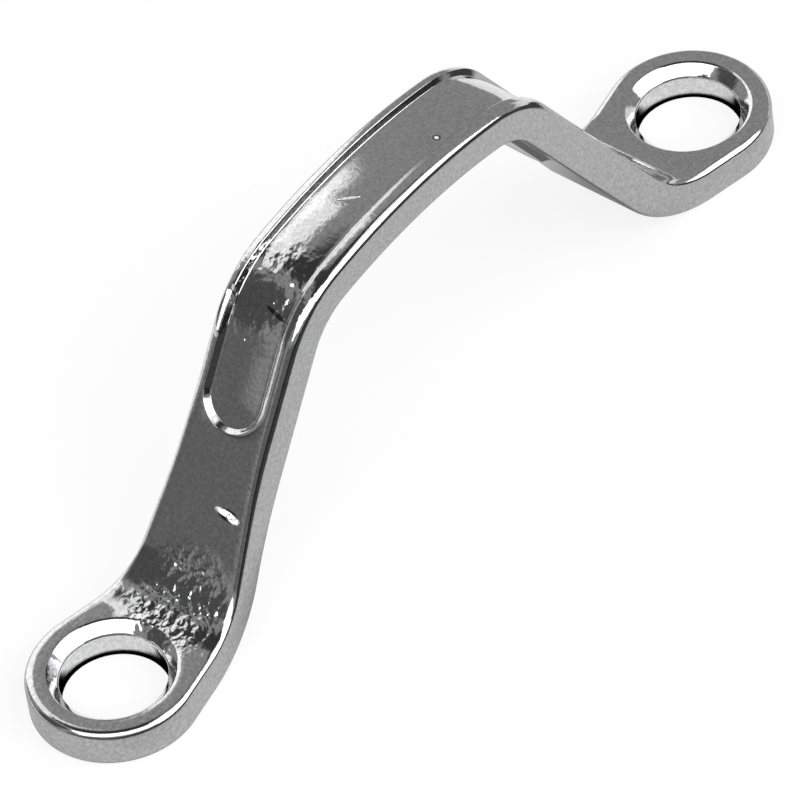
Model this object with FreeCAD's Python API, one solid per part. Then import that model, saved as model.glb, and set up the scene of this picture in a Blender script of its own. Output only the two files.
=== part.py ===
import FreeCAD, Part
import math
import os

from FreeCAD import Vector

# Fender eye: one thick metal strap, bent into a bridge between two flat round eyes.
# Millimetres and degrees. X runs along the strap, Y across it and Z up from the seat of the eyes.
# The origin is on the seat plane, halfway between the two screw holes.

# Strap and eyes
hole_spacing = 60.0
eye_diameter = 11.3
strap_width = 6.6
stock_thickness = 2.7

# Edges: rounded above, broken with a small bevel below
upper_edge_radius = 0.5
lower_edge_bevel = 0.25

# Bends, measured on the upper face of the strap
bridge_height = 22.5
leg_angle = 57.0
foot_flat = 3.9
foot_bend_radius = 5.0
shoulder_radius = 7.5
crown_radius = 44.0

# Flanks that run off each eye and blend into the strap, seen from above
flank_taper = 11.5
flank_blend_radius = 18.0

# Screw holes
bore_diameter = 7.0
countersink_diameter = 8.5
countersink_depth = 0.75

# Channel pressed into the upper face, which stands out as a bulge on the lower face
channel_width = 4.7
channel_depth = 0.5
channel_wall_angle = 45.0
channel_reach = 4.4
channel_rim_radius = 0.2
bulge_rim_radius = 0.2

# Spare length of the cutting shapes beyond the faces that they cut
overshoot = 0.6

# How near an edge has to lie to a line to be counted as on it, and at how many points that is tested
nearness = 0.001
test_points = 7

ACROSS = Vector(0, 1, 0)
UP = Vector(0, 0, 1)
ALONG = Vector(1, 0, 0)
ORIGIN = Vector(0, 0, 0)
hole_x = hole_spacing / 2
eye_radius = eye_diameter / 2
half_width = strap_width / 2


def at(x, z):
    """A point on the strap's middle plane."""
    return Vector(x, 0, z)


def along(angle):
    """The direction that climbs towards the middle at an angle to the seat."""
    return at(math.cos(angle), math.sin(angle))


def outward(angle):
    """The direction out of the upper face where the strap climbs at an angle."""
    return at(-math.sin(angle), math.cos(angle))


def mirrored(point):
    return Vector(-point.x, point.y, point.z)


def run_of_leg(start, direction, centre, distance):
    """How far to go from start along direction until centre is at the given distance."""
    offset = start - centre
    middle = offset.dot(direction)
    return math.sqrt(middle ** 2 - offset.dot(offset) + distance ** 2) - middle


# Centres of the bends in the left half, and the leg between them
climb = math.radians(leg_angle)
foot_centre = at(foot_flat - hole_x, stock_thickness + foot_bend_radius)
crown_centre = at(0, bridge_height - crown_radius)
leg_foot = foot_centre - outward(climb) * foot_bend_radius
leg_length = run_of_leg(leg_foot - outward(climb) * shoulder_radius, along(climb),
                        crown_centre, crown_radius - shoulder_radius)
leg_head = leg_foot + along(climb) * leg_length
shoulder_centre = leg_head - outward(climb) * shoulder_radius
to_shoulder = shoulder_centre - crown_centre
crown_climb = math.atan2(-to_shoulder.x, to_shoulder.z)


def face_line(depth):
    """The strap's line in side view, at a depth below its upper face, from the left end to the right."""
    foot_radius = foot_bend_radius + depth
    bend_radius = shoulder_radius - depth
    end = at(-hole_x - eye_diameter, stock_thickness - depth)
    foot = foot_centre - UP * foot_radius
    foot_middle = foot_centre - outward(climb / 2) * foot_radius
    leg_low = foot_centre - outward(climb) * foot_radius
    leg_high = shoulder_centre + outward(climb) * bend_radius
    bend_middle = shoulder_centre + outward((climb + crown_climb) / 2) * bend_radius
    crown_left = shoulder_centre + outward(crown_climb) * bend_radius
    crown_top = at(0, bridge_height - depth)
    left = [
        Part.LineSegment(end, foot),
        Part.Arc(foot, foot_middle, leg_low),
        Part.LineSegment(leg_low, leg_high),
        Part.Arc(leg_high, bend_middle, crown_left),
    ]
    right = [
        Part.Arc(mirrored(crown_left), mirrored(bend_middle), mirrored(leg_high)),
        Part.LineSegment(mirrored(leg_high), mirrored(leg_low)),
        Part.Arc(mirrored(leg_low), mirrored(foot_middle), mirrored(foot)),
        Part.LineSegment(mirrored(foot), mirrored(end)),
    ]
    crown = Part.Arc(crown_left, crown_top, mirrored(crown_left))
    return [curve.toShape() for curve in left + [crown] + right]


def bent_slab():
    """The strap's side view, as wide as the eyes all along."""
    upper = face_line(0)
    lower = face_line(stock_thickness)
    left_end = Part.makeLine(upper[0].Vertexes[0].Point, lower[0].Vertexes[0].Point)
    right_end = Part.makeLine(upper[-1].Vertexes[-1].Point, lower[-1].Vertexes[-1].Point)
    outline = Part.Wire(Part.sortEdges(upper + [right_end] + lower + [left_end])[0])
    slab = Part.Face(outline)
    slab.translate(ACROSS * -eye_diameter)
    return slab.extrude(ACROSS * 2 * eye_diameter)


def flank_points():
    """Where the left eye's back flank leaves the eye, starts to blend and joins the strap's edge."""
    taper = math.radians(flank_taper)
    leave = Vector(eye_radius * math.sin(taper) - hole_x, eye_radius * math.cos(taper), 0)
    corner_x = leave.x + (leave.y - half_width) / math.tan(taper)
    tangent = flank_blend_radius * math.tan(taper / 2)
    start = Vector(corner_x - tangent * math.cos(taper), half_width + tangent * math.sin(taper), 0)
    join = Vector(corner_x + tangent, half_width, 0)
    blend_centre = join + ACROSS * flank_blend_radius
    middle = blend_centre - Vector(math.sin(taper / 2), math.cos(taper / 2), 0) * flank_blend_radius
    return leave, start, middle, join


def plan_outline():
    """The part's outline seen from above: two eyes, four flanks and the strap between them."""
    leave, start, middle, join = flank_points()
    edges = []
    for side_x in (1, -1):
        for side_y in (1, -1):
            a, b, c, d = [Vector(side_x * p.x, side_y * p.y, 0) for p in (leave, start, middle, join)]
            edges.append(Part.makeLine(a, b))
            edges.append(Part.Arc(b, c, d).toShape())
        front = Vector(side_x * leave.x, -leave.y, 0)
        back = Vector(side_x * leave.x, leave.y, 0)
        tip = Vector(-side_x * (hole_x + eye_radius), 0, 0)
        edges.append(Part.Arc(front, tip, back).toShape())
    for side_y in (1, -1):
        edges.append(Part.makeLine(Vector(join.x, side_y * join.y, 0), Vector(-join.x, side_y * join.y, 0)))
    return Part.Face(Part.Wire(Part.sortEdges(edges)[0]))


def bent_blank():
    """The bent strap with its eyes, before it is drilled and pressed."""
    column = plan_outline()
    column.translate(UP * -overshoot)
    column = column.extrude(UP * (bridge_height + 2 * overshoot))
    return bent_slab().common(column)


def whole_section(side):
    """A section at the crown's middle, both sides of the middle plane."""
    right = [Vector(0, y, bridge_height + h) for y, h in side]
    left = [Vector(0, -y, bridge_height + h) for y, h in reversed(side)]
    return Part.Face(Part.makePolygon(right + left + right[:1]))


def half_section(side):
    """The same section, from the middle plane to one side."""
    top = Vector(0, 0, bridge_height + side[0][1])
    bottom = Vector(0, 0, bridge_height + side[-1][1])
    right = [Vector(0, y, bridge_height + h) for y, h in side]
    return Part.Face(Part.makePolygon([top] + right + [bottom, top]))


def turned_to_shoulder(face):
    """A section moved from the crown's middle to where the left shoulder starts."""
    moved = face.copy()
    moved.rotate(crown_centre, ACROSS, -math.degrees(crown_climb))
    return moved


def turned_to_leg(face):
    """A section moved from the crown's middle to the head of the left leg."""
    moved = turned_to_shoulder(face)
    moved.rotate(shoulder_centre, ACROSS, -math.degrees(climb - crown_climb))
    return moved


def swept(side, reach):
    """Sweeps a section over the crown and both shoulders and some way down the legs, with round ends.

    The side is a list of points from the top down: distance from the middle plane, height above the upper face.
    """
    whole = whole_section(side)
    shoulder_start = turned_to_shoulder(whole)
    crown = shoulder_start.revolve(crown_centre, ACROSS, 2 * math.degrees(crown_climb))
    shoulder = shoulder_start.revolve(shoulder_centre, ACROSS, -math.degrees(climb - crown_climb))
    down = along(climb) * -reach
    leg = turned_to_leg(whole).extrude(down)
    end_section = turned_to_leg(half_section(side))
    end_section.translate(down)
    end = end_section.revolve(leg_head + down, outward(climb), 180)
    left = [shoulder, leg, end]
    right = [piece.mirror(ORIGIN, ALONG) for piece in left]
    return crown.multiFuse(left + right).removeSplitter()


def leaning_wall(top, bottom):
    """One wall of the channel between two heights; at height zero it stands at the channel's rim."""
    lean = 1 / math.tan(math.radians(channel_wall_angle))
    return [(channel_width / 2 + height * lean, height) for height in (top, bottom)]


def channel_cutter():
    return swept(leaning_wall(overshoot, -channel_depth), channel_reach)


def bulge():
    """The metal that the channel pushes out of the lower face, rooted halfway up to the channel's floor."""
    rooted = (stock_thickness - channel_depth) / 2
    wall = leaning_wall(rooted, -channel_depth)
    return swept([(y, h - stock_thickness) for y, h in wall], channel_reach)


def edges_at(shape, depth, nearest, furthest):
    """Lengthwise edges at a depth below the upper face, between two distances from the middle plane."""
    line = Part.Wire(face_line(depth))
    found = []
    for edge in shape.Edges:
        points = edge.discretize(test_points)
        run = max(p.x for p in points) - min(p.x for p in points)
        reach = max(abs(p.y) for p in points)
        gap = max(Part.Vertex(at(p.x, p.z)).distToShape(line)[0] for p in points)
        if run > nearness and gap < nearness and nearest - nearness < reach < furthest + nearness:
            found.append(edge)
    return found


def edged_blank():
    """The bent blank with its upper edges rounded and its lower edges bevelled, all the way round."""
    blank = bent_blank().Solids[0]
    blank = blank.makeFillet(upper_edge_radius, edges_at(blank, 0, half_width, eye_radius))
    return blank.makeChamfer(lower_edge_bevel, edges_at(blank, stock_thickness, half_width, eye_radius))


def pressed(body):
    """The body with the channel pressed in above and its bulge below, each with a rounded rim."""
    shape = body.cut(channel_cutter()).fuse(bulge()).removeSplitter().Solids[0]
    half_rim = channel_width / 2
    shape = shape.makeFillet(channel_rim_radius, edges_at(shape, 0, 0, half_rim))
    lowest = stock_thickness + channel_depth
    return shape.makeFillet(bulge_rim_radius, edges_at(shape, lowest, 0, half_rim))


def screw_hole(x):
    """The bore and its countersink, in one cutting shape."""
    bore_radius = bore_diameter / 2
    lean = (countersink_diameter / 2 - bore_radius) / countersink_depth
    sink_radius = bore_radius + (countersink_depth + overshoot) * lean
    bore = Part.makeCylinder(bore_radius, stock_thickness + overshoot, at(x, -overshoot), UP)
    sink = Part.makeCone(bore_radius, sink_radius, countersink_depth + overshoot,
                         at(x, stock_thickness - countersink_depth), UP)
    return bore.fuse(sink)


def build():
    body = pressed(edged_blank())
    for x in (-hole_x, hole_x):
        body = body.cut(screw_hole(x))
    return body.Solids[0]


os.makedirs("parts", exist_ok=True)
fender_eye = build()
fender_eye.exportStep("parts/fender_eye.step")
print("valid:", fender_eye.isValid(), "volume:", round(fender_eye.Volume, 2), "faces:", len(fender_eye.Faces))
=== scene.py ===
import math

import bmesh
import bpy
from mathutils import Matrix, Vector


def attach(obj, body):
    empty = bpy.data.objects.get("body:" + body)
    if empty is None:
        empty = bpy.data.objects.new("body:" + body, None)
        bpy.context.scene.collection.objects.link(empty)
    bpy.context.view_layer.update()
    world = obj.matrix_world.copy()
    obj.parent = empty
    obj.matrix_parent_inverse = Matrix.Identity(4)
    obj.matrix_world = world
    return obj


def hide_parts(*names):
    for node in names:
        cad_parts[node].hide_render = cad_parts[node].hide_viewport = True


# Looks of the fender eye: its finely rounded surface, the polished steel, the pale floor and the soft studio light.
# The form is worked out in millimetres and turns into metres when its mesh is made. The camera, the floor and the
# lamps are in metres.

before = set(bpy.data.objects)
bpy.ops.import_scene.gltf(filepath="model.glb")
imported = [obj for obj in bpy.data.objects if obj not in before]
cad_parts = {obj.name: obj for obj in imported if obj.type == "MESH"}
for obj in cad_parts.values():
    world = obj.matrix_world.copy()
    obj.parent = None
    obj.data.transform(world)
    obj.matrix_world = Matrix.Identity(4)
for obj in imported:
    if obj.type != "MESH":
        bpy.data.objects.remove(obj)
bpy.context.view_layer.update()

# Form, as in the solid
HOLE_X = 30.0
EYE_R = 5.65
HALF = 3.3
THICK = 2.7
TOP = 22.5
LEG_ANGLE = math.radians(57.0)
FOOT_FLAT = 3.9
FOOT_R = 5.0
SHOULDER_R = 7.5
CROWN_R = 44.0
TAPER = math.radians(11.5)
BLEND_R = 18.0
UPPER_R = 0.5
LOWER_R = 0.25
BORE_R = 3.5
SINK_R = 4.25
SINK_DEPTH = 0.75
CHANNEL_HALF = 2.35
CHANNEL_REACH = 4.4

# Fine forms that the solid leaves out: a channel a little shallower than the solid's, its steep back wall, its soft
# corners, lands that fall off to the sides beside it, and the broken edges of the holes.
# The channel's tip, back and front each have half its width, the wall's angle and the rim's radius. The land beside it
# has the width over which it falls to the strap's side, and a power: the higher it is, the later the land falls.
CHANNEL_DEPTH = 0.42
TIP = {"half": CHANNEL_HALF, "wall": math.radians(54.0), "rim": 0.15}
BACK = {"half": CHANNEL_HALF + 0.1, "wall": math.radians(60.0), "rim": 0.1, "fall": 0.75, "power": 1.2}
FRONT = {"half": CHANNEL_HALF - 0.1, "wall": math.radians(45.0), "rim": 0.95, "fall": 0.62, "power": 1.4}
CROWN_RIM = 0.1
FLOOR_R = 0.1
FLOOR_CROWN = 0.09
SINK_EDGE = 0.35
BORE_FOOT = 0.18

# How finely the surface is divided
CROWN_STEPS = 16
SHOULDER_STEPS = 22
CHANNEL_LEG_STEPS = 5
CORNER_STEPS = 12
LEG_STEPS = 14
BEND_STEPS = 14
FLANK_STEPS = 6
EYE_STEPS = 32
RING_STEPS = 4
FLOOR_STEPS = 6
ARC_STEPS = 4
RIM_STEPS = 6
LAND_STEPS = 2
ROUND_STEPS = 7
WALL_STEPS = 3
FALL_PARTS = 10

# Tilt of the foot's bend where the rows across the leg give way to the rays round the hole
CROSS_ANGLE = math.radians(22.0)

# In metres: points closer than this are one point, and edges shorter than this are taken out
SAME_POINT = 0.000002
NO_LENGTH = 0.0000001

# Centre of the foot's bend
FOOT_X = FOOT_FLAT - HOLE_X
FOOT_Z = THICK + FOOT_R


def spread(low, high, steps):
    """Evenly spaced numbers from low to high, both ends included."""
    return [low + (high - low) * i / steps for i in range(steps + 1)]


# The strap's line in side view, left half, measured from the middle of the crown along the upper face.

def leg_and_climb():
    """The leg's lower end and its length, the shoulder's centre, and the tilt where the crown meets the shoulder."""
    along = Vector((math.cos(LEG_ANGLE), math.sin(LEG_ANGLE)))
    out = Vector((-math.sin(LEG_ANGLE), math.cos(LEG_ANGLE)))
    low = Vector((FOOT_X, FOOT_Z)) - out * FOOT_R
    crown = Vector((0.0, TOP - CROWN_R))
    offset = low - out * SHOULDER_R - crown
    middle = offset.dot(along)
    length = math.sqrt(middle ** 2 - offset.length_squared + (CROWN_R - SHOULDER_R) ** 2) - middle
    centre = low + along * length - out * SHOULDER_R
    tilt = math.atan2(-(centre - crown).x, (centre - crown).y)
    return low, length, centre, tilt


LEG_LOW, LEG_LENGTH, SHOULDER, CLIMB = leg_and_climb()
S_SHOULDER = CROWN_R * CLIMB
S_LEG = S_SHOULDER + SHOULDER_R * (LEG_ANGLE - CLIMB)
S_BEND = S_LEG + LEG_LENGTH
S_END = S_LEG + CHANNEL_REACH
S_CORNER = S_END + HALF - UPPER_R


def line_at(s):
    """The point (x, z) on the upper face's line at s, and the tilt of the face there."""
    if s <= S_SHOULDER:
        tilt = s / CROWN_R
        return -CROWN_R * math.sin(tilt), TOP - CROWN_R + CROWN_R * math.cos(tilt), tilt
    if s <= S_LEG:
        tilt = CLIMB + (s - S_SHOULDER) / SHOULDER_R
        return SHOULDER.x - SHOULDER_R * math.sin(tilt), SHOULDER.y + SHOULDER_R * math.cos(tilt), tilt
    if s <= S_BEND:
        run = S_BEND - s
        return LEG_LOW.x + run * math.cos(LEG_ANGLE), LEG_LOW.y + run * math.sin(LEG_ANGLE), LEG_ANGLE
    tilt = LEG_ANGLE - (s - S_BEND) / FOOT_R
    return FOOT_X + FOOT_R * math.sin(tilt), FOOT_Z - FOOT_R * math.cos(tilt), tilt


def at_depth(s, depth):
    """The point (x, z) at a depth below the upper face."""
    x, z, tilt = line_at(s)
    return x + depth * math.sin(tilt), z - depth * math.cos(tilt)


def half_at(x, inset):
    """Half the width of the outline at x, moved in by an inset all round."""
    eye = EYE_R - inset
    tangent_x = -HOLE_X + eye * math.sin(TAPER)
    join_x = (-HOLE_X + EYE_R * math.sin(TAPER) + (EYE_R * math.cos(TAPER) - HALF) / math.tan(TAPER)
              + BLEND_R * math.tan(TAPER / 2))
    blend = BLEND_R + inset
    if x >= join_x:
        return HALF - inset
    if x >= join_x - blend * math.sin(TAPER):
        return HALF + BLEND_R - math.sqrt(blend ** 2 - (join_x - x) ** 2)
    if x >= tangent_x:
        return eye * math.cos(TAPER) - (x - tangent_x) * math.tan(TAPER)
    return math.sqrt(max(eye ** 2 - (x + HOLE_X) ** 2, 0.0))


def face_height(x, depth):
    """Height of the foot's upper face, or of the face at a depth below it, at x."""
    if x <= FOOT_X:
        return THICK - depth
    return FOOT_Z - math.sqrt((FOOT_R + depth) ** 2 - (x - FOOT_X) ** 2)


def channel_profile(half, wall, rim):
    """Distance from the channel's middle and depth, from the floor's middle out to the rim and its rounding."""
    floor_y = half - CHANNEL_DEPTH / math.tan(wall)
    floor_start = floor_y - FLOOR_R * math.tan(wall / 2)
    points = [(y, CHANNEL_DEPTH - FLOOR_CROWN * (1 - (y / floor_start) ** 2))
              for y in spread(0.0, floor_start, FLOOR_STEPS)]
    for turn in spread(0.0, wall, ARC_STEPS)[1:]:
        points.append((floor_start + FLOOR_R * math.sin(turn), CHANNEL_DEPTH - FLOOR_R * (1 - math.cos(turn))))
    rim_end = half + rim * math.tan(wall / 2)
    for turn in reversed(spread(0.0, wall, RIM_STEPS)):
        points.append((rim_end - rim * math.sin(turn), rim * (1 - math.cos(turn))))
    return points


def end_profile(turn, form):
    """The channel's profile in its round end, whose wall changes from the side's angle to the tip's."""
    return channel_profile(*[TIP[key] + (form[key] - TIP[key]) * math.sin(turn) for key in ("half", "wall", "rim")])


def falling_edge(form):
    """The upper edge beside the channel: it starts to fall near the channel's rim, ever more steeply."""
    flat, drop, points = 0.0, 0.0, [(0.0, 0.0)]
    for i in range(ROUND_STEPS * FALL_PARTS):
        turn = math.pi / 2 * ((i + 0.5) / (ROUND_STEPS * FALL_PARTS)) ** form["power"]
        flat += math.cos(turn)
        drop += math.sin(turn)
        if (i + 1) % FALL_PARTS == 0:
            points.append((flat, drop))
    return [(form["fall"] * (1 - x / flat), form["fall"] * z / flat) for x, z in points]


def edge_profile(fall, form):
    """Inset and depth of the points round the strap's edge, from the upper face to the lower.

    The fall is 0 for a plain rounding and 1 for the edge beside the channel.
    """
    points = []
    for turn, (inset, depth) in zip(spread(0.0, math.pi / 2, ROUND_STEPS), falling_edge(form)):
        points.append((inset * fall + UPPER_R * (1 - math.sin(turn)) * (1 - fall),
                       depth * fall + UPPER_R * (1 - math.cos(turn)) * (1 - fall)))
    for depth in spread(UPPER_R, THICK - LOWER_R, WALL_STEPS)[1:-1]:
        points.append((0.0, depth))
    for turn in spread(0.0, math.pi / 2, ROUND_STEPS):
        points.append((LOWER_R * (1 - math.cos(turn)), THICK - LOWER_R * (1 - math.sin(turn))))
    return points


# The surface as blocks of points: one quarter at the back and one at the front, each mirrored to the other leg.

EDGE = edge_profile(0.0, BACK)

# Stations down the strap, and the columns across the leg, which meet the rows round the channel's end at its corner
straight = (spread(0.0, S_SHOULDER, CROWN_STEPS) + spread(S_SHOULDER, S_LEG, SHOULDER_STEPS)[1:]
            + spread(S_LEG, S_END, CHANNEL_LEG_STEPS)[1:])
corner_angles = spread(0.0, math.pi / 4, CORNER_STEPS)
corner = [S_END + (S_CORNER - S_END) * math.tan(turn) for turn in corner_angles]
columns = [math.tan(turn) for turn in corner_angles]
leg = spread(S_CORNER, S_BEND, LEG_STEPS)
bend = [S_BEND + FOOT_R * (LEG_ANGLE - tilt) for tilt in spread(LEG_ANGLE, CROSS_ANGLE, BEND_STEPS)]
foot_bend = spread(CROSS_ANGLE, 0.0, FLANK_STEPS)


def edge_at(s, form):
    """The strap's edge at s, as a row of points from the upper face to the lower."""
    row = []
    for inset, depth in edge_profile(min(max((S_CORNER - s) / (S_CORNER - S_END), 0.0), 1.0), form):
        x, z = at_depth(s, depth)
        row.append(Vector((x, half_at(x, inset), z)))
    return row


def flank_edge(part):
    """The edge of the flat flank, from the foot's bend (0) to where the eye's circle starts (1)."""
    start_x = -HOLE_X + EYE_R * math.sin(TAPER)
    base_x = FOOT_X + (start_x - FOOT_X) * part
    row = []
    for inset, depth in EDGE:
        x = base_x - inset * math.sin(TAPER) * part
        row.append(Vector((x, half_at(x, inset), THICK - depth)))
    return row


def eye_edge(turn):
    """The eye's edge at an angle round the hole, counted from the strap's side."""
    row = []
    for inset, depth in EDGE:
        r = EYE_R - inset
        row.append(Vector((-HOLE_X + r * math.cos(turn), r * math.sin(turn), THICK - depth)))
    return row


def strap_point(s, y, depth):
    """The point at s, at y from the middle plane and at a depth below the upper face."""
    x, z = at_depth(s, depth)
    return Vector((x, y, z))


def rim_radius(s, form):
    """Radius of the channel's rim: fine on the crown, and softer from the shoulder down to the leg."""
    part = min(max((s - S_SHOULDER) / (S_LEG - S_SHOULDER), 0.0), 1.0)
    return CROWN_RIM + (form["rim"] - CROWN_RIM) * part ** 2


def straight_block(base, side, form):
    """The channelled stretch of the upper face (base 0) or of the bulged lower face (base at the thickness)."""
    block = []
    for s in straight:
        channel = channel_profile(form["half"], form["wall"], rim_radius(s, form))
        rim = channel[-1][0]
        outer = side[s].y
        row = [strap_point(s, y, base + depth) for y, depth in channel]
        row += [strap_point(s, rim + (outer - rim) * i / LAND_STEPS, base) for i in range(1, LAND_STEPS + 1)]
        block.append(row)
    return block


def round_end(base, form):
    """The channel's round end, as rows from the side to the middle."""
    block = []
    for turn in spread(math.pi / 2, 0.0, 2 * CORNER_STEPS):
        block.append([strap_point(S_END + y * math.cos(turn), y * math.sin(turn), base + depth)
                      for y, depth in end_profile(turn, form)])
    return block


def land_block(base, side, form):
    """The flat face between the channel's round end and the strap's edge."""
    outer_rows = [(s, side[s].y) for s in corner]
    outer_rows += [(S_CORNER, side[S_CORNER].y * c) for c in reversed(columns[:-1])]
    block = []
    for turn, (s, y) in zip(spread(math.pi / 2, 0.0, 2 * CORNER_STEPS), outer_rows):
        rim = end_profile(turn, form)[-1][0]
        inner_s = S_END + rim * math.cos(turn)
        inner_y = rim * math.sin(turn)
        block.append([strap_point(inner_s + (s - inner_s) * i / LAND_STEPS,
                                  inner_y + (y - inner_y) * i / LAND_STEPS, base)
                      for i in range(LAND_STEPS + 1)])
    return block


def leg_block(base, side):
    """The plain leg and the foot's bend."""
    return [[strap_point(s, side[s].y * c, base) for c in columns] for s in leg + bend[1:]]


def eye_block(base, loop, hole_r):
    """The flat eye between its hole and its outline, as rays from the hole outwards."""
    block = []
    for point in loop:
        turn = math.atan2(point.y, point.x + HOLE_X)
        inner = Vector((-HOLE_X + hole_r * math.cos(turn), hole_r * math.sin(turn)))
        row = []
        for i in range(RING_STEPS + 1):
            part = i / RING_STEPS
            x = inner.x + (point.x - inner.x) * part
            y = inner.y + (point.y - inner.y) * part
            row.append(Vector((x, y, face_height(x, base))))
        block.append(row)
    return block


# The countersink's cone is rounded off towards the flat eye and towards the bore's wall.
SINK_SLOPE = math.atan2(SINK_DEPTH, SINK_R - BORE_R)
SINK_TOP_R = SINK_R + SINK_EDGE * math.tan(SINK_SLOPE / 2)
WALL_TOP = THICK - SINK_DEPTH - SINK_EDGE * math.tan((math.pi / 2 - SINK_SLOPE) / 2)


def hole_block(upper_loop, lower_loop):
    """The countersink and the bore, one column of points for each ray.

    The lower face's rays run at other angles than the upper face's, so each column shifts along the bore's wall.
    """
    block = []
    for upper, lower in zip(upper_loop, lower_loop):
        start, end = [math.atan2(point.y, point.x + HOLE_X) for point in (upper, lower)]
        rise = face_height(-HOLE_X + SINK_TOP_R * math.cos(start), 0.0) - THICK
        profile = [(SINK_TOP_R - SINK_EDGE * math.sin(lean),
                    THICK - SINK_EDGE * (1 - math.cos(lean)) + rise * (1 - lean / SINK_SLOPE))
                   for lean in spread(0.0, SINK_SLOPE, ARC_STEPS)]
        profile += [(BORE_R + SINK_EDGE * (1 - math.sin(lean)), WALL_TOP + SINK_EDGE * math.cos(lean))
                    for lean in spread(SINK_SLOPE, math.pi / 2, ARC_STEPS)]
        profile += [(BORE_R, z) for z in spread(WALL_TOP, BORE_FOOT, WALL_STEPS)[1:-1]]
        profile += [(BORE_R + BORE_FOOT * (1 - math.cos(lean)), BORE_FOOT * (1 - math.sin(lean)))
                    for lean in spread(0.0, math.pi / 2, ARC_STEPS)]
        column = []
        for r, z in profile:
            turn = start + (end - start) * min(max((WALL_TOP - z) / (WALL_TOP - BORE_FOOT), 0.0), 1.0)
            column.append(Vector((-HOLE_X + r * math.cos(turn), r * math.sin(turn), z)))
        block.append(column)
    return block


def quarter_blocks(form):
    """All blocks of the quarter at -X and +Y, with the fine form of the strap's back or front."""
    stations = straight + corner[1:] + leg[1:] + bend[1:]
    foot = [S_BEND + FOOT_R * (LEG_ANGLE - tilt) for tilt in foot_bend]
    edges = {s: edge_at(s, form) for s in stations + foot}
    rows = [edges[s] for s in stations + foot[1:]]
    rows += [flank_edge(part) for part in spread(0.0, 1.0, FLANK_STEPS)[1:]]
    rows += [eye_edge(turn) for turn in spread(math.pi / 2 - TAPER, math.pi, EYE_STEPS)[1:]]
    blocks = [rows]
    loops = []
    for base, which, hole_r in ((0.0, 0, SINK_TOP_R), (THICK, -1, BORE_R + BORE_FOOT)):
        side = {s: row[which] for s, row in edges.items()}
        blocks += [straight_block(base, side, form), round_end(base, form), land_block(base, side, form),
                   leg_block(base, side)]
        cross = [strap_point(bend[-1], side[bend[-1]].y * c, base) for c in columns]
        loop = cross + [row[which] for row in rows[len(stations):]]
        blocks.append(eye_block(base, loop, hole_r))
        loops.append(loop)
    blocks.append(hole_block(*loops))
    return blocks


def whole_mesh(name):
    """The four mirrored quarters, joined into one closed surface in metres."""
    bm = bmesh.new()
    for sign_y, form in ((1, BACK), (-1, FRONT)):
        for block in quarter_blocks(form):
            for sign_x in (1, -1):
                grid = [[bm.verts.new((sign_x * p.x / 1000, sign_y * p.y / 1000, p.z / 1000)) for p in row]
                        for row in block]
                for a, b in zip(grid, grid[1:]):
                    for i in range(len(a) - 1):
                        bm.faces.new((a[i], a[i + 1], b[i + 1], b[i]))
    bmesh.ops.remove_doubles(bm, verts=bm.verts, dist=SAME_POINT)
    bmesh.ops.dissolve_degenerate(bm, edges=bm.edges, dist=NO_LENGTH)
    bmesh.ops.recalc_face_normals(bm, faces=bm.faces)
    mesh = bpy.data.meshes.new(name)
    bm.to_mesh(mesh)
    bm.free()
    mesh.shade_smooth()
    return mesh


strap = bpy.data.objects.new("strap", whole_mesh("strap"))
bpy.context.scene.collection.objects.link(strap)
strap.modifiers.new("even_normals", "WEIGHTED_NORMAL")


# Camera at the photograph's viewing angle. The shifts are in pixels of the picture, the sensor's width in millimetres.

VIEW_TURN = math.radians(-45.106)
VIEW_HEIGHT = math.radians(46.362)
VIEW_ROLL = math.radians(-8.397)
VIEW_DISTANCE = 0.5099
PICTURE_PIXELS = 800
PIXELS_PER_METRE = 15495.0
SHIFT_RIGHT = -0.505
SHIFT_DOWN = -76.693
AIM = Vector((0.0, 0.0, 0.008))
SENSOR_WIDTH = 36.0


def add_camera():
    """A camera turned about the aim point, with the aim moved off the middle of the picture."""
    back = Vector((math.sin(VIEW_TURN) * math.cos(VIEW_HEIGHT),
                   -math.cos(VIEW_TURN) * math.cos(VIEW_HEIGHT),
                   math.sin(VIEW_HEIGHT)))
    right = Vector((math.cos(VIEW_TURN), math.sin(VIEW_TURN), 0.0))
    down = (-back).cross(right)
    rolled_right = right * math.cos(VIEW_ROLL) - down * math.sin(VIEW_ROLL)
    rolled_down = right * math.sin(VIEW_ROLL) + down * math.cos(VIEW_ROLL)
    place = (AIM + back * VIEW_DISTANCE - rolled_right * (SHIFT_RIGHT / PIXELS_PER_METRE)
             - rolled_down * (SHIFT_DOWN / PIXELS_PER_METRE))
    data = bpy.data.cameras.new("camera")
    data.sensor_width = SENSOR_WIDTH
    data.lens = PIXELS_PER_METRE * VIEW_DISTANCE / PICTURE_PIXELS * SENSOR_WIDTH
    data.clip_start = 0.01
    data.clip_end = 20.0
    camera = bpy.data.objects.new("camera", data)
    bpy.context.scene.collection.objects.link(camera)
    axes = Matrix((rolled_right, -rolled_down, back)).transposed()
    camera.matrix_world = Matrix.Translation(place) @ axes.to_4x4()
    bpy.context.scene.camera = camera


add_camera()


# Steel.

# Scales of the noise in the metal, and how finely each is broken up
GRAIN_SCALE, GRAIN_DETAIL = 4200.0, 3.0
SKIN_SCALE, SKIN_DETAIL = 3500.0, 2.0
DIMPLE_SCALE, DIMPLE_DETAIL = 1700.0, 1.5
GLOSS_SCALE, GLOSS_DETAIL = 1500.0, 2.0

# The grain's two colours, and the part of its noise in which one passes into the other
DARK_GRAIN = (0.5, 0.5, 0.505, 1.0)
LIGHT_GRAIN = (0.7, 0.7, 0.705, 1.0)
GRAIN_RANGE = (0.3, 0.7)

# Roughness and how much it varies, and the height of the skin's unevenness in metres
ROUGHNESS = 0.05
ROUGHNESS_SPREAD = 0.07
SKIN = 0.000005

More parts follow.
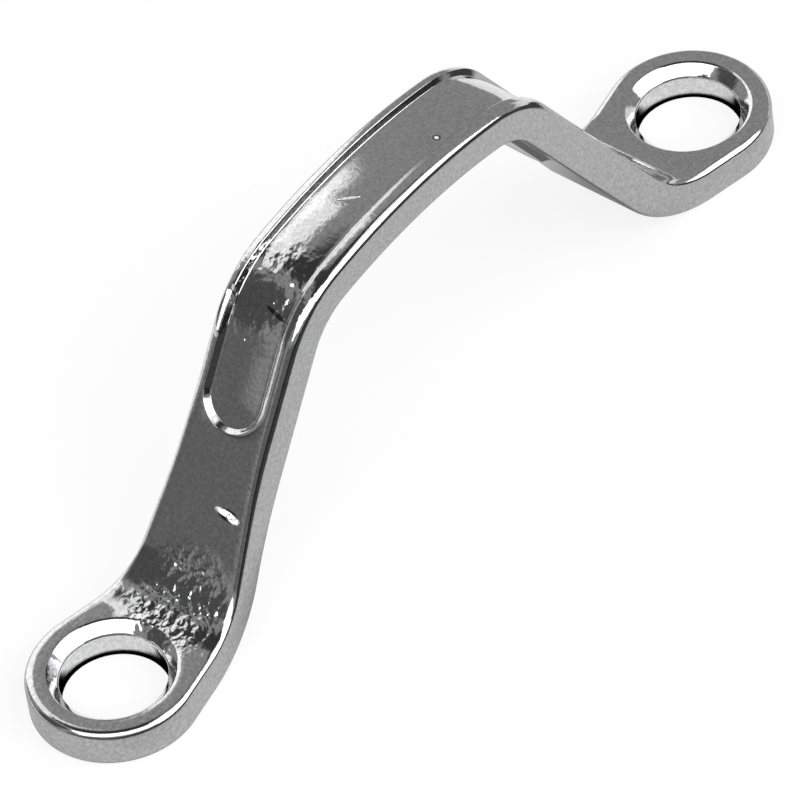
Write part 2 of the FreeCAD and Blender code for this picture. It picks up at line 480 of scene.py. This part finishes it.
# Places where the metal is rougher than elsewhere: the foot's bend and the shoulder. Middle, radius and height of the
# bumps, in millimetres.
HAMMERED = (
    ((-24.3, -0.4, 4.3), 4.4, 0.12),
    ((-10.6, 0.2, 20.3), 4.6, 0.05),
)

# Marks that the photo shows: a name, the middle and the half sizes in millimetres, and a turn about the upright axis in
# degrees. A dark mark also has the tone that the metal's colour is multiplied by: painted shade in the dent and the
# spot, and a darker line along the scratch.
DARK_MARKS = (
    ("leg_dent", (-19.54, -1.83, 8.6), (1.0, 0.85, 0.36), 0, 0.12),
    ("crown_spot", (4.45, -1.25, 21.82), (0.3, 0.3, 0.3), 0, 0.3),
    ("shoulder_scratch", (-11.68, -0.86, 19.5), (0.12, 0.9, 0.8), -10, 0.2),
)

# A facet is bright metal that is tilted by a slope, also where it lies in a dark mark.
FACETS = (
    ("leg_dent_back", (-19.52, -1.65, 8.65), (1.0, 0.85, 0.21), 0, (0.196, -0.497, 0.309)),
    ("leg_dent_front", (-19.62, -2.25, 8.53), (1.0, 0.5, 0.26), 0, (0.196, -0.497, 0.309)),
    ("crown_spot_middle", (4.45, -1.25, 21.82), (0.18, 0.18, 0.18), 0, (-0.274, 0.25, 0.049)),
    ("shoulder_speck", (-9.93, -0.98, 20.72), (0.16, 0.2, 0.16), 0, (-0.085, -0.274, -0.053)),
    ("small_shoulder_speck", (-11.23, -0.47, 19.93), (0.1, 0.12, 0.1), 0, (-0.018, -0.337, -0.017)),
    ("leg_speck", (-13.15, 0.65, 17.69), (0.11, 0.11, 0.11), 0, (0.143, -0.492, 0.229)),
    ("foot_speck", (-22.14, 0.99, 4.65), (0.12, 0.12, 0.12), 0, (0.114, -0.46, 0.153)),
    ("back_land_patch", (-12.8, 2.6, 18.9), (2.2, 0.5, 1.5), 0, (0.104, -0.449, 0.128)),
    ("crown_mark", (-2.9, -0.1, 21.95), (0.75, 0.12, 0.3), -45, (-0.119, 0.041, -0.013)),
)

# Where a mark's cover ends and where it is full, in half sizes from its middle
MARK_END = 1.1
MARK_FULL = 0.8


def math_node(tree, operation, *values):
    """A math node whose inputs are numbers or the outputs of other nodes."""
    node = tree.nodes.new("ShaderNodeMath")
    node.operation = operation
    for i, value in enumerate(values):
        if isinstance(value, (int, float)):
            node.inputs[i].default_value = value
        else:
            tree.links.new(value, node.inputs[i])
    return node.outputs[0]


def smooth_range(tree, value, low, high):
    """0 at low, 1 at high and a smooth climb between them. Low may be the greater of the two."""
    node = tree.nodes.new("ShaderNodeMapRange")
    node.interpolation_type = "SMOOTHSTEP"
    tree.links.new(value, node.inputs["Value"])
    node.inputs["From Min"].default_value = low
    node.inputs["From Max"].default_value = high
    return node.outputs["Result"]


def noise(tree, place, scale, detail):
    """Soft noise from 0 to 1."""
    node = tree.nodes.new("ShaderNodeTexNoise")
    node.inputs["Scale"].default_value = scale
    node.inputs["Detail"].default_value = detail
    tree.links.new(place, node.inputs["Vector"])
    return node.outputs["Fac"]


def away_from(tree, place, point):
    """The distance in metres from a point given in millimetres."""
    node = tree.nodes.new("ShaderNodeVectorMath")
    node.operation = "DISTANCE"
    tree.links.new(place, node.inputs[0])
    node.inputs[1].default_value = Vector(point) / 1000
    return node.outputs["Value"]


def dot_node(tree, vector, axis):
    """How far a vector reaches along a fixed axis."""
    node = tree.nodes.new("ShaderNodeVectorMath")
    node.operation = "DOT_PRODUCT"
    tree.links.new(vector, node.inputs[0])
    node.inputs[1].default_value = axis
    return node.outputs["Value"]


def mark_cover(tree, place, name, point, half_sizes, turn):
    """1 inside a mark and 0 outside."""
    node = tree.nodes.new("ShaderNodeMapping")
    node.label = name
    node.vector_type = "TEXTURE"
    node.inputs["Location"].default_value = Vector(point) / 1000
    node.inputs["Rotation"].default_value = (0.0, 0.0, math.radians(turn))
    node.inputs["Scale"].default_value = Vector(half_sizes) / 1000
    tree.links.new(place, node.inputs["Vector"])
    length = tree.nodes.new("ShaderNodeVectorMath")
    length.operation = "LENGTH"
    tree.links.new(node.outputs["Vector"], length.inputs[0])
    return smooth_range(tree, length.outputs["Value"], MARK_END, MARK_FULL)


def facet(tree, place, point, slope):
    """The height of a sloping plane through a point given in millimetres."""
    return math_node(tree, "ADD", dot_node(tree, place, -Vector(slope)), Vector(point).dot(Vector(slope)) / 1000)


def with_dimples(tree, place, height):
    """The height with dimples added in the hammered places, which fade out towards their borders."""
    dimples = noise(tree, place, DIMPLE_SCALE, DIMPLE_DETAIL)
    for point, reach, size in HAMMERED:
        off = smooth_range(tree, away_from(tree, place, point), reach / 2000, reach / 1000)
        raised = math_node(tree, "MULTIPLY", dimples, size / 1000)
        raised = math_node(tree, "MULTIPLY", math_node(tree, "SUBTRACT", 1.0, off), raised)
        height = math_node(tree, "ADD", height, raised)
    return height


def with_marks(tree, place, height):
    """What the marks multiply the colour by, painted shade in the dent and the spot and darker along the scratch, and
    the height with their facets added.
    """
    painted_shade_and_scratch = 1.0
    # Painted shade in the dent and the spot, and darker along the scratch
    for name, point, half_sizes, turn, dark in DARK_MARKS:
        cover = mark_cover(tree, place, name, point, half_sizes, turn)
        painted_shade_and_scratch = math_node(tree, "MULTIPLY_ADD", cover, dark - 1.0, painted_shade_and_scratch)
    for name, point, half_sizes, turn, slope in FACETS:
        cover = mark_cover(tree, place, name, point, half_sizes, turn)
        painted_shade_and_scratch = math_node(tree, "MAXIMUM", painted_shade_and_scratch, cover)
        tilted = math_node(tree, "MULTIPLY", cover, facet(tree, place, point, slope))
        height = math_node(tree, "ADD", height, tilted)
    return painted_shade_and_scratch, height


def steel():
    """Polished stainless steel with a fine grain, with dimples where the strap is bent, and with its few marks, whose
    dent and spot carry painted shade.
    """
    material = bpy.data.materials.new("polished_stainless")
    material.use_nodes = True
    tree = material.node_tree
    shader = tree.nodes["Principled BSDF"]
    shader.inputs["Metallic"].default_value = 1.0
    place = tree.nodes.new("ShaderNodeTexCoord").outputs["Object"]
    grain = tree.nodes.new("ShaderNodeValToRGB")
    for element, position, color in zip(grain.color_ramp.elements, GRAIN_RANGE, (DARK_GRAIN, LIGHT_GRAIN)):
        element.position = position
        element.color = color
    tree.links.new(noise(tree, place, GRAIN_SCALE, GRAIN_DETAIL), grain.inputs["Fac"])
    gloss = noise(tree, place, GLOSS_SCALE, GLOSS_DETAIL)
    tree.links.new(math_node(tree, "MULTIPLY_ADD", gloss, ROUGHNESS_SPREAD, ROUGHNESS), shader.inputs["Roughness"])
    height = math_node(tree, "MULTIPLY", noise(tree, place, SKIN_SCALE, SKIN_DETAIL), SKIN)
    painted_shade_and_scratch, height = with_marks(tree, place, with_dimples(tree, place, height))
    marked_grain = tree.nodes.new("ShaderNodeVectorMath")
    marked_grain.operation = "SCALE"
    tree.links.new(grain.outputs["Color"], marked_grain.inputs[0])
    tree.links.new(painted_shade_and_scratch, marked_grain.inputs["Scale"])
    tree.links.new(marked_grain.outputs["Vector"], shader.inputs["Base Color"])
    bump = tree.nodes.new("ShaderNodeBump")
    bump.inputs["Strength"].default_value = 1.0
    bump.inputs["Distance"].default_value = 1.0
    tree.links.new(height, bump.inputs["Height"])
    tree.links.new(bump.outputs["Normal"], shader.inputs["Normal"])
    return material


strap.data.materials.append(steel())
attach(strap, "root")
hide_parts("fender_eye")


# Floor, world and lamps.

FLOOR_SIZE = 0.5
FLOOR_LEVEL = -0.00002
WHITE = (1.0, 1.0, 1.0, 1.0)
FLOOR_TONE = 0.86
CAMERA_WHITE = 0.85

# How the metal mirrors the floor, as light and shade painted into the floor's colour and glow for mirrored rays: its
# tone near the part, behind it and further off, what the strap's painted shade leaves of it, and how much of it glows
FLOOR_NEAR = 0.6
FLOOR_BEHIND = 1.0
FLOOR_FAR = 0.06
FLOOR_COVERED = 0.3
MIRRORED_GLOW = 0.5

# The painted pool of light that the metal mirrors: its middle and half sizes, and the shares of them over which it
# fades out.
# Behind the part it reaches further, by this many times its size and from these distances on.
POOL_MIDDLE = 0.012
POOL_LONG = 0.06
POOL_WIDE = 0.032
POOL_FADE = (0.9, 1.35)
POOL_REACH_BEHIND = 5.0
BEHIND = (0.01, 0.022)

# The shade under the strap, lengthwise and across: where it starts and where it is full
SHADE_LONG = (0.026, 0.018)
SHADE_WIDE = (0.007, 0.002)

# Round each hole the metal mirrors painted light inside the bore and a painted black shadow under the eye. Each ends
# between these distances from the hole's middle.
BORE_PAINTED_LIGHT = (0.0032, 0.0029)
EYE_PAINTED_SHADOW = (0.0055, 0.0058)

# The room that the metal mirrors. A panel has a place, half sizes and a soft border in degrees, and a tone. The
# backdrop is there for mirrored rays only.
ROOM = 0.34
PANELS = (
    ("zenith", 40, 88, 26, 26, 6, 0.05),
    ("front_flag", -100, 2, 60, 12, 6, 0.03),
    ("left_flag", -170, 8, 26, 12, 6, 0.16),
    ("back_left_flag", 136, 30, 15, 24, 8, 0.1),
    ("leg_glow", 150, 3, 9, 6, 4, 0.17),
    ("back_panel", 74, 24, 18, 24, 5, 1.55),
    ("backdrop", 0, 2, 22, 9, 5, 1.0),
    ("tip_glow", -40, 69, 14, 6, 4, 1.5),
)

# How far a direction has to point towards a panel before the panel starts to show, and to show in full
PANEL_SIDE = (0.02, 0.1)

# Soft lamps: place and half sizes in degrees as seen from the part, and a level that is 1 for white
LAMPS = (
    ("front_softbox", -66, 40, 26, 24, 2.4),
    ("left_softbox", -142, 53, 38, 22, 2.2),
    ("top_softbox", 80, 52.5, 16, 4, 0.9),
)
LAMP_DISTANCE = 1.0


def mirrored_rays(tree, rays):
    """1 for rays that come from metal or through glass, and 0 for the others."""
    return math_node(tree, "MAXIMUM", rays.outputs["Is Glossy Ray"], rays.outputs["Is Transmission Ray"])


def mirrored_pool(tree, place):
    """The floor's tone as the metal mirrors it: a painted pool of light, with painted shade under the strap and round
    the holes.
    """
    split = tree.nodes.new("ShaderNodeSeparateXYZ")
    tree.links.new(place, split.inputs["Vector"])
    along, across = split.outputs["X"], split.outputs["Y"]
    from_middle = math_node(tree, "ABSOLUTE", math_node(tree, "SUBTRACT", along, POOL_MIDDLE))
    long_share = math_node(tree, "DIVIDE", from_middle, POOL_LONG)
    wide_share = math_node(tree, "DIVIDE", math_node(tree, "ABSOLUTE", across), POOL_WIDE)
    behind = smooth_range(tree, across, *BEHIND)
    near = math_node(tree, "MULTIPLY_ADD", behind, FLOOR_BEHIND - FLOOR_NEAR, FLOOR_NEAR)
    limit = math_node(tree, "MULTIPLY_ADD", behind, POOL_REACH_BEHIND, 1.0)
    reach = math_node(tree, "DIVIDE", math_node(tree, "ADD", long_share, wide_share), limit)
    far = smooth_range(tree, reach, *POOL_FADE)
    pool = math_node(tree, "MULTIPLY", near, math_node(tree, "SUBTRACT", 1.0, far))
    pool = math_node(tree, "MULTIPLY_ADD", far, FLOOR_FAR, pool)
    # Painted shade under the strap
    shade = math_node(tree, "MULTIPLY",
                      smooth_range(tree, math_node(tree, "ABSOLUTE", along), *SHADE_LONG),
                      smooth_range(tree, math_node(tree, "ABSOLUTE", across), *SHADE_WIDE))
    pool = math_node(tree, "MULTIPLY", pool, math_node(tree, "MULTIPLY_ADD", shade, FLOOR_COVERED - 1.0, 1.0))
    either_half = tree.nodes.new("ShaderNodeVectorMath")
    either_half.operation = "ABSOLUTE"
    tree.links.new(place, either_half.inputs[0])
    from_hole = away_from(tree, either_half.outputs["Vector"], (HOLE_X, 0.0, 0.0))
    # Painted shadow under each eye, and painted light inside each bore
    pool = math_node(tree, "MULTIPLY", pool, smooth_range(tree, from_hole, *EYE_PAINTED_SHADOW))
    return math_node(tree, "ADD", pool, smooth_range(tree, from_hole, *BORE_PAINTED_LIGHT))


def add_floor():
    """A white table that keeps a faint shadow of the part; the metal mirrors it as a painted pool of light that glows.
    """
    bpy.ops.mesh.primitive_plane_add(size=FLOOR_SIZE, location=(0.0, 0.0, FLOOR_LEVEL))
    floor = bpy.context.object
    floor.name = "floor"
    material = bpy.data.materials.new("floor")
    material.use_nodes = True
    tree = material.node_tree
    shader = tree.nodes["Principled BSDF"]
    shader.inputs["Roughness"].default_value = 1.0
    shader.inputs["Specular IOR Level"].default_value = 0.0
    pool = mirrored_pool(tree, tree.nodes.new("ShaderNodeTexCoord").outputs["Object"])
    rays = tree.nodes.new("ShaderNodeLightPath")
    mirrored = mirrored_rays(tree, rays)
    tone = math_node(tree, "MULTIPLY", pool, mirrored)
    tone = math_node(tree, "MULTIPLY_ADD", math_node(tree, "SUBTRACT", 1.0, mirrored), FLOOR_TONE, tone)
    tree.links.new(tone, shader.inputs["Base Color"])
    glow = tree.nodes.new("ShaderNodeEmission")
    glow.inputs["Color"].default_value = WHITE
    strength = math_node(tree, "MAXIMUM", rays.outputs["Is Camera Ray"], pool)
    tree.links.new(strength, glow.inputs["Strength"])
    mix = tree.nodes.new("ShaderNodeMixShader")
    share = math_node(tree, "MAXIMUM", math_node(tree, "MULTIPLY", rays.outputs["Is Camera Ray"], CAMERA_WHITE),
                      math_node(tree, "MULTIPLY", mirrored, MIRRORED_GLOW))
    tree.links.new(share, mix.inputs["Fac"])
    tree.links.new(shader.outputs["BSDF"], mix.inputs[1])
    tree.links.new(glow.outputs["Emission"], mix.inputs[2])
    tree.links.new(mix.outputs["Shader"], tree.nodes["Material Output"].inputs["Surface"])
    floor.data.materials.append(material)


def direction(turn, height):
    """The direction at a turn from +X towards +Y and a height above the floor, both in degrees."""
    turn, height = math.radians(turn), math.radians(height)
    return Vector((math.cos(turn) * math.cos(height), math.sin(turn) * math.cos(height), math.sin(height)))


def panel_cover(tree, looking, turn, height, half_wide, half_tall, soft):
    """1 inside a panel and 0 outside, with a soft border."""
    ahead = direction(turn, height)
    sideways = Vector((-math.sin(math.radians(turn)), math.cos(math.radians(turn)), 0.0))
    depth = dot_node(tree, looking, ahead)
    cover = smooth_range(tree, depth, *PANEL_SIDE)
    for axis, half in ((sideways, half_wide), (ahead.cross(sideways), half_tall)):
        off = math_node(tree, "ABSOLUTE", math_node(tree, "ARCTAN2", dot_node(tree, looking, axis), depth))
        beyond = smooth_range(tree, off, math.radians(half - soft / 2), math.radians(half + soft / 2))
        cover = math_node(tree, "MULTIPLY", cover, math_node(tree, "SUBTRACT", 1.0, beyond))
    return cover


def add_world():
    """A white surround, and for the metal a grey room with dark flags, light panels and the white backdrop."""
    world = bpy.data.worlds.new("studio")
    world.use_nodes = True
    tree = world.node_tree
    looking = tree.nodes.new("ShaderNodeTexCoord").outputs["Generated"]
    rays = tree.nodes.new("ShaderNodeLightPath")
    mirrored = mirrored_rays(tree, rays)
    room = ROOM
    for name, turn, height, half_wide, half_tall, soft, tone in PANELS:
        cover = panel_cover(tree, looking, turn, height, half_wide, half_tall, soft)
        if name == "backdrop":
            cover = math_node(tree, "MULTIPLY", cover, mirrored)
        change = math_node(tree, "MULTIPLY", cover, math_node(tree, "SUBTRACT", tone, room))
        room = math_node(tree, "ADD", room, change)
    shade = math_node(tree, "MAXIMUM", room, rays.outputs["Is Camera Ray"])
    tree.links.new(shade, tree.nodes["Background"].inputs["Strength"])
    tree.nodes["Background"].inputs["Color"].default_value = WHITE
    bpy.context.scene.world = world


def add_softbox(name, turn, height, half_wide, half_tall, level):
    """A soft lamp that faces the part."""
    wide = 2 * LAMP_DISTANCE * math.tan(math.radians(half_wide))
    tall = 2 * LAMP_DISTANCE * math.tan(math.radians(half_tall))
    data = bpy.data.lights.new(name, "AREA")
    data.shape = "RECTANGLE"
    data.size = wide
    data.size_y = tall
    data.energy = level * math.pi * wide * tall
    out = direction(turn, height)
    lamp = bpy.data.objects.new(name, data)
    lamp.location = AIM + out * LAMP_DISTANCE
    lamp.rotation_euler = out.to_track_quat("Z", "Y").to_euler()
    lamp.visible_camera = False
    bpy.context.scene.collection.objects.link(lamp)


add_floor()
add_world()
for lamp in LAMPS:
    add_softbox(*lamp)
bpy.context.scene.view_settings.view_transform = "Standard"
